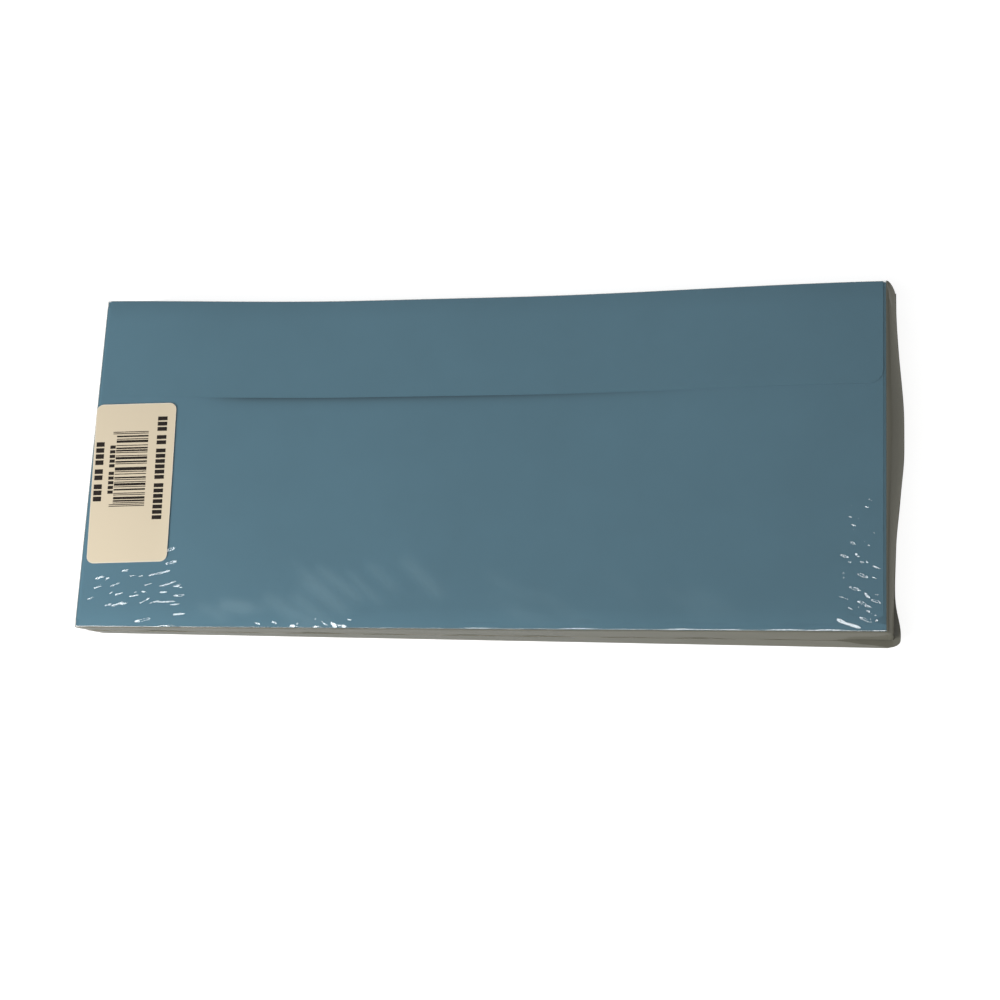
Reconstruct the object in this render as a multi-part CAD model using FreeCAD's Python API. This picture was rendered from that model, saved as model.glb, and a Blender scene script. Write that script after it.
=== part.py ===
import FreeCAD, Part
import math
import os

# A retail pack of long commercial envelopes: a stack of folded paper envelopes, sealed in clear
# shrink film, with a printed paper label on the film.
#
# Millimetres. +X runs along the envelopes, +Y points to the fold of the seal flap and +Z is up.
# The pack lies flat with its flap side up. The origin is on the underside of the film, below the
# centre of the uppermost envelope.

# Envelope blank, folded. The length and width are those of the long commercial size.
ENVELOPE_COUNT = 50
ENVELOPE_LENGTH = 241.3
ENVELOPE_WIDTH = 104.8
PAPER_THICKNESS = 0.10
LAYER_GAP = 0.01
SEAL_FLAP_DEPTH = 31.5
SEAL_FLAP_INSET = 0.8
SEAL_FLAP_CORNER_RADIUS = 4.0
THROAT_DEPTH = 21.0
BACK_PANEL_INSET = 1.2
SIDE_FLAP_WIDTH = 22.0
SIDE_FLAP_TAPER = 6.0
CORNER_NOTCH = 2.0

# The stack is not square: each envelope lies turned a little against the one above it, about the
# front right corner, and this is the turn from the bottom of the pack to its top.
STACK_TURN_DEG = 0.7

# Shrink film, with the welded seam round its front and both ends. A square stack corner fits in a
# film corner whose radius is up to 3.4 times the clearance. The right end is tented off the stack,
# most at half height: the profile gives shares of the height and of the full bulge.
FILM_THICKNESS = 0.05
FILM_CLEARANCE = 0.30
FILM_EDGE_CLEARANCE = 0.08
FILM_EDGE_DROP = 1.0
FILM_CORNER_RATIO = 3.0
END_BULGE = 3.0
FLAT_END_BULGE = 0.15
BULGE_PROFILE = ((0.30, 0.85), (0.50, 1.0), (0.70, 0.85))
EDGE_FULLNESS = 0.3
SEAM_WIDTH = 1.0
SEAM_EAR_REACH = 1.8
SEAM_EAR_RUN = 13.0
SEAM_EAR_SLANT = 3.0

# Label, measured from the left and front edges of the uppermost envelope.
LABEL_WIDTH = 25.4
LABEL_LENGTH = 50.8
LABEL_THICKNESS = 0.10
LABEL_CORNER_RADIUS = 2.2
LABEL_TURN_DEG = 2.0
LABEL_FROM_LEFT = 13.5
LABEL_FROM_FRONT = 45.4

# Print on the label, measured from its centre: across is along its short side, up along its long
# side. The bars and word blocks are plain stand-ins that spell nothing.
INK_THICKNESS = 0.02
BAR_FIELD_LENGTH = 25.1
BAR_FIELD_TOP = 16.4
BAR_LEFT = -5.6
BAR_RIGHT = 4.4
GUARD_BAR_EXTRA = 1.2
BAR_UNIT_COUNT = 95
BAR_WIDTHS = (1, 1, 2, 1, 3, 1, 2, 2, 1, 1, 3, 2, 1, 4, 1, 1, 2, 1, 1, 3, 1, 2, 1, 1, 3, 2, 1, 1, 1)
BAR_SPACES = (1, 2, 2, 1, 3, 2, 1, 1, 3, 1, 2, 1, 4, 1, 2, 3, 1, 2, 1, 1, 2, 3, 1, 2, 1, 1, 1, 1)
GUARD_BAR_COUNT = 2
WORD_GAP = 1.4
LETTER_GAP = 0.45
TITLE_ACROSS = 6.6
TITLE_TOP = 21.0
TITLE_HEIGHT = 2.4
TITLE_LETTER = 1.25
TITLE_WORDS = (3, 2, 6, 7)
FOOTER_ACROSS = -11.6
FOOTER_TOP = 13.2
FOOTER_HEIGHT = 2.2
FOOTER_LETTER = 1.5
FOOTER_WORDS = (4, 2, 3)
DIGIT_ACROSS = -7.8
DIGIT_TOP = 12.4
DIGIT_HEIGHT = 1.5
DIGIT_LETTER = 0.95
DIGIT_WORDS = (5, 5)

# Worked out from the sizes above.
LAYER_PITCH = PAPER_THICKNESS + LAYER_GAP
SIDE_FLAP_LAYER = 1
BACK_PANEL_LAYER = 2
SEAL_FLAP_LAYER = 3
ENVELOPE_PITCH = (SEAL_FLAP_LAYER + 1) * LAYER_PITCH
HALF_LENGTH = ENVELOPE_LENGTH / 2
HALF_WIDTH = ENVELOPE_WIDTH / 2
STACK_BOTTOM = FILM_THICKNESS
STACK_TOP = STACK_BOTTOM + ENVELOPE_COUNT * ENVELOPE_PITCH
FILM_TOP = STACK_TOP + FILM_THICKNESS
LABEL_TOP = FILM_TOP + LABEL_THICKNESS

UP = FreeCAD.Vector(0, 0, 1)
RIGHT = FreeCAD.Vector(1, 0, 0)
LEFT = FreeCAD.Vector(-1, 0, 0)
BACK = FreeCAD.Vector(0, 1, 0)
FRONT = FreeCAD.Vector(0, -1, 0)
PIVOT = FreeCAD.Vector(HALF_LENGTH, -HALF_WIDTH, 0)


def slab(points, low, thickness):
    """A flat sheet with the outline of the points, from height low upwards."""
    corners = [FreeCAD.Vector(x, y, low) for x, y in points]
    outline = Part.makePolygon(corners + corners[:1])
    return Part.Face(outline).extrude(UP * thickness)


def box(left, front, right, back, low, thickness):
    """A flat rectangular sheet between two opposite corners."""
    return slab([(left, front), (right, front), (right, back), (left, back)], low, thickness)


def rounded_sheet(half_x, front, back, radius, low, thickness):
    """A flat sheet with a straight back edge and two rounded front corners."""
    shift = radius * (1 - math.sqrt(0.5))
    start = FreeCAD.Vector(-half_x, back, low)
    left_high = FreeCAD.Vector(-half_x, front + radius, low)
    left_mid = FreeCAD.Vector(-half_x + shift, front + shift, low)
    left_low = FreeCAD.Vector(-half_x + radius, front, low)
    right_low = FreeCAD.Vector(half_x - radius, front, low)
    right_mid = FreeCAD.Vector(half_x - shift, front + shift, low)
    right_high = FreeCAD.Vector(half_x, front + radius, low)
    end = FreeCAD.Vector(half_x, back, low)
    edges = [
        Part.makeLine(start, left_high),
        Part.Arc(left_high, left_mid, left_low).toShape(),
        Part.makeLine(left_low, right_low),
        Part.Arc(right_low, right_mid, right_high).toShape(),
        Part.makeLine(right_high, end),
        Part.makeLine(end, start),
    ]
    return Part.Face(Part.Wire(edges)).extrude(UP * thickness)


def fold_radius(layer):
    """Outside radius of the fold from the front panel to a panel some layers above it."""
    return (layer * LAYER_PITCH + PAPER_THICKNESS) / 2


def fold(layer, outward, reach, half_span):
    """The half-round strip of paper along one edge, whose outside is at reach from the centre."""
    outer = fold_radius(layer)
    inner = outer - PAPER_THICKNESS
    along = FreeCAD.Vector(-outward.y, outward.x, 0)
    centre = outward * (reach - outer) + UP * outer - along * half_span
    edges = [
        Part.Arc(centre + UP * outer, centre + outward * outer, centre - UP * outer).toShape(),
        Part.makeLine(centre - UP * outer, centre - UP * inner),
        Part.Arc(centre - UP * inner, centre + outward * inner, centre + UP * inner).toShape(),
        Part.makeLine(centre + UP * inner, centre + UP * outer),
    ]
    return Part.Face(Part.Wire(edges)).extrude(along * 2 * half_span)


def front_panel():
    """The address side, which lies face down between the four folds."""
    side = HALF_LENGTH - fold_radius(SIDE_FLAP_LAYER)
    front = HALF_WIDTH - fold_radius(BACK_PANEL_LAYER)
    back = HALF_WIDTH - fold_radius(SEAL_FLAP_LAYER)
    return box(-side, -front, side, back, 0, PAPER_THICKNESS)


def side_flap(outward):
    """One glued side flap and its fold, in the layer over the front panel."""
    root = HALF_LENGTH - fold_radius(SIDE_FLAP_LAYER)
    tip = HALF_LENGTH - SIDE_FLAP_WIDTH
    half_root = HALF_WIDTH - CORNER_NOTCH
    half_tip = half_root - SIDE_FLAP_TAPER
    side = outward.x
    outline = [
        (side * root, -half_root),
        (side * tip, -half_tip),
        (side * tip, half_tip),
        (side * root, half_root),
    ]
    panel = slab(outline, SIDE_FLAP_LAYER * LAYER_PITCH, PAPER_THICKNESS)
    return [panel, fold(SIDE_FLAP_LAYER, outward, HALF_LENGTH, half_root)]


def back_panel():
    """The panel folded up from the front edge and glued over the side flaps."""
    half_x = HALF_LENGTH - BACK_PANEL_INSET
    root = -HALF_WIDTH + fold_radius(BACK_PANEL_LAYER)
    throat = HALF_WIDTH - THROAT_DEPTH
    low = BACK_PANEL_LAYER * LAYER_PITCH
    panel = box(-half_x, root, half_x, throat, low, PAPER_THICKNESS)
    return [panel, fold(BACK_PANEL_LAYER, FRONT, HALF_WIDTH, half_x)]


def seal_flap():
    """The flap folded down from the back edge, not stuck, over the back panel's throat."""
    half_x = HALF_LENGTH - SEAL_FLAP_INSET
    root = HALF_WIDTH - fold_radius(SEAL_FLAP_LAYER)
    free_edge = HALF_WIDTH - SEAL_FLAP_DEPTH
    low = SEAL_FLAP_LAYER * LAYER_PITCH
    panel = rounded_sheet(half_x, free_edge, root, SEAL_FLAP_CORNER_RADIUS, low, PAPER_THICKNESS)
    return [panel, fold(SEAL_FLAP_LAYER, BACK, HALF_WIDTH, half_x)]


def folded_envelope():
    """One envelope as a single folded sheet, with its front panel's underside at height 0."""
    pieces = side_flap(LEFT) + side_flap(RIGHT) + back_panel() + seal_flap()
    return front_panel().multiFuse(pieces).removeSplitter()


def turn_at(height):
    """Turn of the stack in degrees at a height over the ground."""
    return -STACK_TURN_DEG * (1 - height / FILM_TOP)


def stacked_envelope(envelope, index):
    """A copy of the envelope at its place in the stack, with index 0 at the bottom."""
    height = STACK_BOTTOM + index * ENVELOPE_PITCH
    placed = envelope.copy()
    placed.translate(UP * height)
    placed.rotate(PIVOT, UP, turn_at(height + ENVELOPE_PITCH / 2))
    return placed


def film_corner(side_x, side_y, reach_x, reach_y, radius, height):
    """Three points of a rounded corner: on the long side, half way round and on the end."""
    shift = radius * (1 - math.sqrt(0.5))
    on_long_side = FreeCAD.Vector(side_x * (reach_x - radius), side_y * reach_y, height)
    half_way = FreeCAD.Vector(side_x * (reach_x - shift), side_y * (reach_y - shift), height)
    on_end = FreeCAD.Vector(side_x * reach_x, side_y * (reach_y - radius), height)
    return on_long_side, half_way, on_end


def film_outline(height, clearance, skin, bulge):
    """One closed outline of the film at a height, at a clearance from the turned stack.

    The skin is 0 for the inside of the film and its thickness for the outside. The right end is
    one arc that stands out by the bulge.
    """
    reach_x = HALF_LENGTH + clearance + skin
    reach_y = HALF_WIDTH + clearance + skin
    radius = FILM_CORNER_RATIO * clearance + skin
    front_left = film_corner(-1, -1, reach_x, reach_y, radius, height)
    front_right = film_corner(1, -1, reach_x, reach_y, radius, height)
    back_right = film_corner(1, 1, reach_x, reach_y, radius, height)
    back_left = film_corner(-1, 1, reach_x, reach_y, radius, height)
    crown = FreeCAD.Vector(reach_x + bulge, 0, height)
    edges = [
        Part.makeLine(front_left[0], front_right[0]),
        Part.Arc(*front_right).toShape(),
        Part.Arc(front_right[2], crown, back_right[2]).toShape(),
        Part.Arc(*back_right[::-1]).toShape(),
        Part.makeLine(back_right[0], back_left[0]),
        Part.Arc(*back_left).toShape(),
        Part.makeLine(back_left[2], front_left[2]),
        Part.Arc(*front_left[::-1]).toShape(),
    ]
    outline = Part.Wire(edges)
    outline.rotate(PIVOT, UP, turn_at(height))
    return outline


def film_block(low, high, skin):
    """The space inside one skin of the film, as ruled rings closed at both ends."""
    depth = high - low
    rings = [(low, FILM_EDGE_CLEARANCE, 0.0), (low + FILM_EDGE_DROP, FILM_CLEARANCE, EDGE_FULLNESS)]
    rings += [(low + share * depth, FILM_CLEARANCE, fullness) for share, fullness in BULGE_PROFILE]
    rings += [(high - FILM_EDGE_DROP, FILM_CLEARANCE, EDGE_FULLNESS), (high, FILM_EDGE_CLEARANCE, 0.0)]
    outlines = []
    for height, clearance, fullness in rings:
        bulge = FLAT_END_BULGE + fullness * (END_BULGE - FLAT_END_BULGE)
        outlines.append(film_outline(height, clearance, skin, bulge))
    return Part.makeLoft(outlines, True, True)


def seam_ear(side, reach_x, reach_y):
    """Outline of the loose film ear at one front corner, from the end seam to the front seam."""
    return [
        (side * reach_x, SEAM_EAR_RUN - reach_y),
        (side * (reach_x + SEAM_EAR_REACH), SEAM_EAR_SLANT - reach_y),
        (side * reach_x, -reach_y - SEAM_EAR_REACH),
        (side * (reach_x - SEAM_EAR_RUN + SEAM_EAR_SLANT), -reach_y - SEAM_EAR_REACH),
        (side * (reach_x - SEAM_EAR_RUN), -reach_y),
    ]


def seam_plate():
    """The welded seam at half height, with both its ears, as a plate that still fills the pack."""
    reach_x = HALF_LENGTH + FILM_CLEARANCE + FILM_THICKNESS + SEAM_WIDTH
    reach_y = HALF_WIDTH + FILM_CLEARANCE + FILM_THICKNESS + SEAM_WIDTH
    low = FILM_TOP / 2 - FILM_THICKNESS
    outline = [(-reach_x, HALF_WIDTH)]
    outline += seam_ear(-1, reach_x, reach_y)
    outline += seam_ear(1, reach_x, reach_y)[::-1]
    outline += [(reach_x, HALF_WIDTH)]
    points = [FreeCAD.Vector(x, y, low) for x, y in outline]
    crown = (points[-2] + points[-1]) * 0.5 + RIGHT * END_BULGE
    edges = [Part.makeLine(a, b) for a, b in zip(points[:-1], points[1:-1])]
    edges.append(Part.Arc(points[-2], crown, points[-1]).toShape())
    edges.append(Part.makeLine(points[-1], points[0]))
    plate = Part.Face(Part.Wire(edges)).extrude(UP * 2 * FILM_THICKNESS)
    plate.rotate(PIVOT, UP, turn_at(low))
    return plate


def shrink_film():
    """The closed film round the stack, with its seam and the tented right end."""
    outer = film_block(0, FILM_TOP, FILM_THICKNESS)
    inner = film_block(STACK_BOTTOM, STACK_TOP, 0)
    return outer.fuse(seam_plate()).cut(inner)


def on_label(shape):
    """Moves a shape from the label's own centre and axes to its place on the pack."""
    placed = shape.copy()
    placed.rotate(FreeCAD.Vector(0, 0, 0), UP, LABEL_TURN_DEG)
    placed.translate(FreeCAD.Vector(LABEL_FROM_LEFT - HALF_LENGTH, LABEL_FROM_FRONT - HALF_WIDTH, 0))
    return placed


def label():
    """The paper label with four rounded corners, stuck on top of the film."""
    half_x = LABEL_WIDTH / 2
    half_y = LABEL_LENGTH / 2
    sheet = box(-half_x, -half_y, half_x, half_y, FILM_TOP, LABEL_THICKNESS)
    upright = [edge for edge in sheet.Edges if abs(edge.tangentAt(edge.FirstParameter).z) > 0.5]
    return on_label(sheet.makeFillet(LABEL_CORNER_RADIUS, upright))


def bar_marks():
    """A row of plain bars of mixed widths, with longer bars at both ends."""
    unit = BAR_FIELD_LENGTH / BAR_UNIT_COUNT
    marks = []
    top = BAR_FIELD_TOP
    spaces = BAR_SPACES + (0,)
    last = len(BAR_WIDTHS) - GUARD_BAR_COUNT
    for index, (width, space) in enumerate(zip(BAR_WIDTHS, spaces)):
        guard = index < GUARD_BAR_COUNT or index >= last
        left = BAR_LEFT - (GUARD_BAR_EXTRA if guard else 0)
        marks.append(box(left, top - width * unit, BAR_RIGHT, top, LABEL_TOP, INK_THICKNESS))
        top -= (width + space) * unit
    return marks


def word_marks(across, top, height, letter, words):
    """A line of plain blocks, grouped like words, that runs down the label's long side."""
    marks = []
    for letters in words:
        for _ in range(letters):
            marks.append(
                box(across, top - letter, across + height, top, LABEL_TOP, INK_THICKNESS)
            )
            top -= letter + LETTER_GAP
        top -= WORD_GAP - LETTER_GAP
    return marks


def label_print():
    """All ink on the label: the bars, a title line, a digit line and a footer line."""
    marks = bar_marks()
    marks += word_marks(TITLE_ACROSS, TITLE_TOP, TITLE_HEIGHT, TITLE_LETTER, TITLE_WORDS)
    marks += word_marks(DIGIT_ACROSS, DIGIT_TOP, DIGIT_HEIGHT, DIGIT_LETTER, DIGIT_WORDS)
    marks += word_marks(FOOTER_ACROSS, FOOTER_TOP, FOOTER_HEIGHT, FOOTER_LETTER, FOOTER_WORDS)
    return on_label(Part.makeCompound(marks))


def build():
    """Every node of the pack, by name."""
    envelope = folded_envelope()
    nodes = {}
    for index in range(ENVELOPE_COUNT):
        nodes[f"envelope_{index + 1:02d}"] = stacked_envelope(envelope, index)
    nodes["shrink_film"] = shrink_film()
    nodes["label"] = label()
    nodes["label_print"] = label_print()
    return nodes


os.makedirs("parts", exist_ok=True)
for name, shape in build().items():
    shape.exportStep(f"parts/{name}.step")
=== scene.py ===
import logging
import math
from dataclasses import dataclass
from enum import Enum

import bpy
import numpy as np
from mathutils import Matrix, Vector
from numpy.typing import NDArray


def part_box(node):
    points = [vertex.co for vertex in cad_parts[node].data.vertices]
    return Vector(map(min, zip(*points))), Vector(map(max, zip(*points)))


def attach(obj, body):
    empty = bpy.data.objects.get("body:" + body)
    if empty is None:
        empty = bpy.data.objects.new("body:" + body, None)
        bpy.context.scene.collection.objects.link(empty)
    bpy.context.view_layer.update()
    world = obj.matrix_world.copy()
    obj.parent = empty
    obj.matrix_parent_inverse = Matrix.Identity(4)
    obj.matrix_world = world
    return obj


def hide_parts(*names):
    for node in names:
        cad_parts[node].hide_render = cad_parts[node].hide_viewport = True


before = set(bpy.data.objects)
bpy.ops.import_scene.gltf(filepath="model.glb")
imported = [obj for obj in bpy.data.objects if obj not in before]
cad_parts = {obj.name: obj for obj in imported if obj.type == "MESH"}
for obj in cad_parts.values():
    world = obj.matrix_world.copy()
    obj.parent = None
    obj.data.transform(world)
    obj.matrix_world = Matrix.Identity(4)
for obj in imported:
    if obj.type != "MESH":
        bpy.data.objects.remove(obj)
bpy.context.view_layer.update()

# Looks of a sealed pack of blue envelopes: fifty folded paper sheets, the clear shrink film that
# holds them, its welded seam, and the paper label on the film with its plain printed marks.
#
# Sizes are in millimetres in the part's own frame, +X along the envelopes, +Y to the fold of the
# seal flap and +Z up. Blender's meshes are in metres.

MM = 0.001
BODY = "root"
SHARP_ANGLE = math.radians(50)
GATHERED_HAZE_AND_SHADE = "gathered"
PAINTED_SHEEN = "painted_sheen"
BORDER = "border"

Array = NDArray[np.float64]
Faces = list[NDArray[np.int64]]
Colour = tuple[float, float, float]

log = logging.getLogger("envelope_pack")


class Slot(Enum):
    """The record's material slots."""

    PAPER = "envelope_paper"
    FILM = "clear_film"
    LABEL = "label_paper"
    INK = "label_ink"


class End(Enum):
    """The two short ends of the pack, as the sign of X."""

    LEFT = -1
    RIGHT = 1


# Meshes


def smooth_step(share: Array, start_slope: float = 0.0) -> Array:
    """A cubic that climbs from 0 to 1 while the share does, level at the end.

    Args:
        share: How far along the climb each point is; it is held between 0 and 1.
        start_slope: The slope at the start.

    Returns:
        The height of the climb at each point.
    """
    t = np.clip(share, 0.0, 1.0)
    return start_slope * (t**3 - 2 * t**2 + t) + 3 * t**2 - 2 * t**3


def grid_quads(rows: int, columns: int) -> NDArray[np.int64]:
    """Quads between the points of a grid that is stored row by row.

    Args:
        rows: Number of rows of points.
        columns: Number of points in a row.

    Returns:
        One line of four point numbers per cell, along the columns first, then the rows.
    """
    row, column = np.meshgrid(np.arange(rows - 1), np.arange(columns - 1), indexing="ij")
    first = (row * columns + column).ravel()
    return np.column_stack([first, first + 1, first + columns + 1, first + columns])


def thicken(middle: Array, normals: Array, quads: NDArray[np.int64], thickness: float) -> tuple[Array, Faces]:
    """Turns a sheet of quads into a closed solid one.

    The outer side is the middle surface moved half the thickness along its normals and the inner
    side is moved the other way. A wall joins them along every edge that has only one quad.

    Args:
        middle: Points of the middle surface.
        normals: Unit normals of the outer side at those points.
        quads: Faces of the sheet, seen from its outer side.
        thickness: Thickness of the sheet.

    Returns:
        The points of both sides, and the faces that close them.
    """
    count = len(middle)
    points = np.vstack([middle + normals * thickness / 2, middle - normals * thickness / 2])
    starts = quads.ravel()
    ends = np.roll(quads, -1, axis=1).ravel()
    keys = np.minimum(starts, ends) * count + np.maximum(starts, ends)
    _, first, uses = np.unique(keys, return_index=True, return_counts=True)
    rim = first[uses == 1]
    walls = np.column_stack([ends[rim], starts[rim], starts[rim] + count, ends[rim] + count])
    return points, [quads, quads[:, ::-1] + count, walls]


def make_piece(name: str, points: Array, faces: Faces, material: bpy.types.Material) -> bpy.types.Object:
    """Makes a mesh object of the pack, smooth but for its sharp edges, that rides on the pack.

    Args:
        name: Name of the piece.
        points: Its points in millimetres.
        faces: Arrays of faces, each with one line of point numbers per face.
        material: Its finish.

    Returns:
        The new object, with its place in its mesh.
    """
    sizes = np.concatenate([np.full(len(group), group.shape[1]) for group in faces])
    corners = np.concatenate([group.ravel() for group in faces])
    mesh = bpy.data.meshes.new(name)
    mesh.vertices.add(len(points))
    mesh.vertices.foreach_set("co", (points * MM).astype(np.float32).ravel())
    mesh.loops.add(len(corners))
    mesh.loops.foreach_set("vertex_index", corners.astype(np.int32))
    mesh.polygons.add(len(sizes))
    mesh.polygons.foreach_set("loop_start", (np.cumsum(sizes) - sizes).astype(np.int32))
    mesh.update(calc_edges=True)
    mesh.polygons.foreach_set("use_smooth", np.ones(len(sizes), dtype=bool))
    mesh.set_sharp_from_angle(angle=SHARP_ANGLE)
    mesh.materials.append(material)
    piece = bpy.data.objects.new(name, mesh)
    bpy.context.scene.collection.objects.link(piece)
    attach(piece, BODY)
    return piece


def add_values(piece: bpy.types.Object, name: str, values: Array) -> None:
    """Stores one number per point on a piece, for its finish to read.

    Args:
        piece: The object.
        name: Name of the attribute.
        values: One value per point.
    """
    attribute = piece.data.attributes.new(name, "FLOAT", "POINT")
    attribute.data.foreach_set("value", values.astype(np.float32))


# Shape of the stack


@dataclass(frozen=True)
class StackShape:
    """The form that the film's tension gives the whole stack.

    The stack is turned a little from its top to its bottom, and it sinks between its ends, where
    no side flaps fill the envelopes. Its front edge is pressed down by the film.
    """

    half_length: float
    half_width: float
    top: float
    bottom: float = 0.05
    turn_deg: float = 0.7
    dip: float = 5.3
    dip_reach: float = 120.545
    dip_full_left: float = -40.0
    dip_full_right: float = 8.0
    dip_start_slope: float = 0.8
    press: float = 0.55
    press_reach: float = 1.3
    flap_edge: float = 20.9
    flap_lift: float = 0.10
    flap_lift_reach: float = 16.0
    flap_kink: float = 0.16
    flap_kink_at: float = -58.0
    flap_kink_width: float = 26.0

    @classmethod
    def from_frame(cls) -> "StackShape":
        """The stack's sizes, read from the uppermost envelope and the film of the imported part."""
        low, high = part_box("envelope_50")
        half_length = round((high.x - low.x) / MM, 1) / 2
        half_width = round((high.y - low.y) / MM, 1) / 2
        film_top = round(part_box("shrink_film")[1].z / MM, 2)
        return cls(half_length=half_length, half_width=half_width, top=film_top)

    def sinking(self, x: Array, y: Array) -> Array:
        """How far the top of the stack has sunk.

        Along X the dip climbs, stays and ends by two cubic steps. Along Y it grows from nothing
        at the front edge by 1 - (1 - t)^2. The press falls off exponentially from the front edge,
        and waves along it.

        Args:
            x: Places along the stack.
            y: Places across it.

        Returns:
            The drop at each place.
        """
        rise = smooth_step((x + self.dip_reach) / (self.dip_full_left + self.dip_reach), self.dip_start_slope)
        fall = smooth_step((self.dip_reach - x) / (self.dip_reach - self.dip_full_right))
        across = np.clip((y + self.half_width) / (2 * self.half_width), 0.0, 1.0)
        dip = self.dip * rise * fall * (1 - (1 - across) ** 2)
        inward = np.clip(y + self.half_width, 0.0, None)
        strength = 0.35 + 0.65 * smooth_step((x + 95.0) / 130.0)
        waves = 1.0 + 0.18 * np.sin(x / 2.3) + 0.16 * np.sin(x / 5.1 + 1.3)
        return dip + self.press * strength * waves * np.exp(-inward / self.press_reach)

    def lift(self, x: Array) -> Array:
        """How far the seal flap's free edge stands up, most at one kink left of the middle."""
        kink = np.exp(-(((x - self.flap_kink_at) / self.flap_kink_width) ** 2))
        return self.flap_lift + self.flap_kink * kink

    def place(self, points: Array) -> Array:
        """Moves points from a square, flat stack to the real one.

        Each height is turned about the front right corner in proportion to its distance from the
        top, and then sinks in proportion to its height over the lowest paper.

        Args:
            points: Points of a square stack that lies on height 0.

        Returns:
            The same points in the turned and sunken stack.
        """
        turn = -np.radians(self.turn_deg) * (1 - points[:, 2] / self.top)
        x = points[:, 0] - self.half_length
        y = points[:, 1] + self.half_width
        turned_x = x * np.cos(turn) - y * np.sin(turn) + self.half_length
        turned_y = x * np.sin(turn) + y * np.cos(turn) - self.half_width
        share = np.clip(points[:, 2] - self.bottom, 0.0, None) / (self.top - self.bottom)
        sunken = points[:, 2] - share * self.sinking(turned_x, turned_y)
        return np.column_stack([turned_x, turned_y, sunken])


# Finishes


@dataclass(frozen=True)
class NodeBoard:
    """The shader nodes of one new material."""

    material: bpy.types.Material

    @classmethod
    def new(cls, name: str) -> "NodeBoard":
        """An empty board for a material of that name."""
        material = bpy.data.materials.new(name)
        material.use_nodes = True
        material.node_tree.nodes.clear()
        return cls(material)

    def add(self, kind: str, **inputs: object) -> bpy.types.Node:
        """Adds a node.

        Args:
            kind: Blender's name of the node type.
            **inputs: Values of its inputs, by their names in lower case with underscores.

        Returns:
            The new node.
        """
        node = self.material.node_tree.nodes.new(kind)
        for key, value in inputs.items():
            socket = next(s for s in node.inputs if s.name.lower().replace(" ", "_") == key and s.enabled)
            socket.default_value = value
        return node

    def link(self, output: bpy.types.NodeSocket, target: bpy.types.NodeSocket) -> None:
        """Joins an output to an input."""
        self.material.node_tree.links.new(output, target)

    def show(self, shader: bpy.types.NodeSocket) -> bpy.types.Material:
        """Sends a shader to the output and gives back the material."""
        output = self.add("ShaderNodeOutputMaterial")
        self.link(shader, output.inputs["Surface"])
        return self.material

    def math(self, operation: str, *values: float | bpy.types.NodeSocket) -> bpy.types.NodeSocket:
        """Adds a sum on numbers and outputs.

        Args:
            operation: Blender's name of the operation.
            *values: Its operands, each a number or another node's output.

        Returns:
            The result's output.
        """
        node = self.material.node_tree.nodes.new("ShaderNodeMath")
        node.operation = operation
        for socket, value in zip(node.inputs, values):
            if isinstance(value, bpy.types.NodeSocket):
                self.link(value, socket)
            else:
                socket.default_value = value
        return node.outputs[0]

    def blend(self, factor: bpy.types.NodeSocket, first: Colour, second: Colour) -> bpy.types.NodeSocket:
        """Adds a mix of two colours by a factor, and gives its output."""
        node = self.material.node_tree.nodes.new("ShaderNodeMix")
        node.data_type = "RGBA"
        self.link(factor, node.inputs["Factor"])
        colours = [socket for socket in node.inputs if socket.type == "RGBA"]
        colours[0].default_value = (*first, 1.0)
        colours[1].default_value = (*second, 1.0)
        return next(socket for socket in node.outputs if socket.type == "RGBA")

    def grain(self, size: float, detail: float) -> bpy.types.NodeSocket:
        """Adds noise whose spots are about the size in millimetres, in the object's own space."""
        place = self.add("ShaderNodeTexCoord")
        noise = self.add("ShaderNodeTexNoise", scale=1 / (size * MM), detail=detail)
        self.link(place.outputs["Object"], noise.inputs["Vector"])
        return noise.outputs["Fac"]

    def ramp(self, value: bpy.types.NodeSocket, start: float, end: float) -> bpy.types.NodeSocket:
        """Adds a smooth step of a length from 0 at the start to 1 at the end, both in millimetres."""
        node = self.add("ShaderNodeMapRange", from_min=start * MM, from_max=end * MM)
        node.interpolation_type = "SMOOTHSTEP"
        self.link(value, node.inputs["Value"])
        return node.outputs["Result"]

    def stored(self, name: str) -> bpy.types.NodeSocket:
        """Adds a reader of the piece's own values of that name."""
        node = self.add("ShaderNodeAttribute")
        node.attribute_name = name
        return node.outputs["Fac"]


@dataclass(frozen=True)
class PaperFinish:
    """Uncoated paper: a matt colour with faint fibres in it."""

    name: str
    colour: Colour
    cloud: float = 0.05
    cloud_size: float = 18.0
    fibre_size: float = 0.35
    fibre_height: float = 0.015
    roughness: float = 0.9

    def tone(self, share: float) -> Colour:
        """The colour made lighter or darker by a share."""
        red, green, blue = self.colour
        return red * (1 + share), green * (1 + share), blue * (1 + share)

    def tint(self, board: NodeBoard) -> bpy.types.NodeSocket:
        """The colour with its clouds."""
        clouds = board.grain(self.cloud_size, 2.0)
        return board.blend(clouds, self.tone(-self.cloud), self.tone(self.cloud))

    def material(self) -> bpy.types.Material:
        """The finished material, with clouds in its colour and fibres in its relief."""
        board = NodeBoard.new(self.name)
        paper = board.add("ShaderNodeBsdfPrincipled", roughness=self.roughness, specular_ior_level=0.25)
        board.link(self.tint(board), paper.inputs["Base Color"])
        relief = board.add("ShaderNodeBump", strength=0.35, distance=self.fibre_height * MM)
        board.link(board.grain(self.fibre_size, 3.0), relief.inputs["Height"])
        board.link(relief.outputs["Normal"], paper.inputs["Normal"])
        return board.show(paper.outputs["BSDF"])


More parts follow.
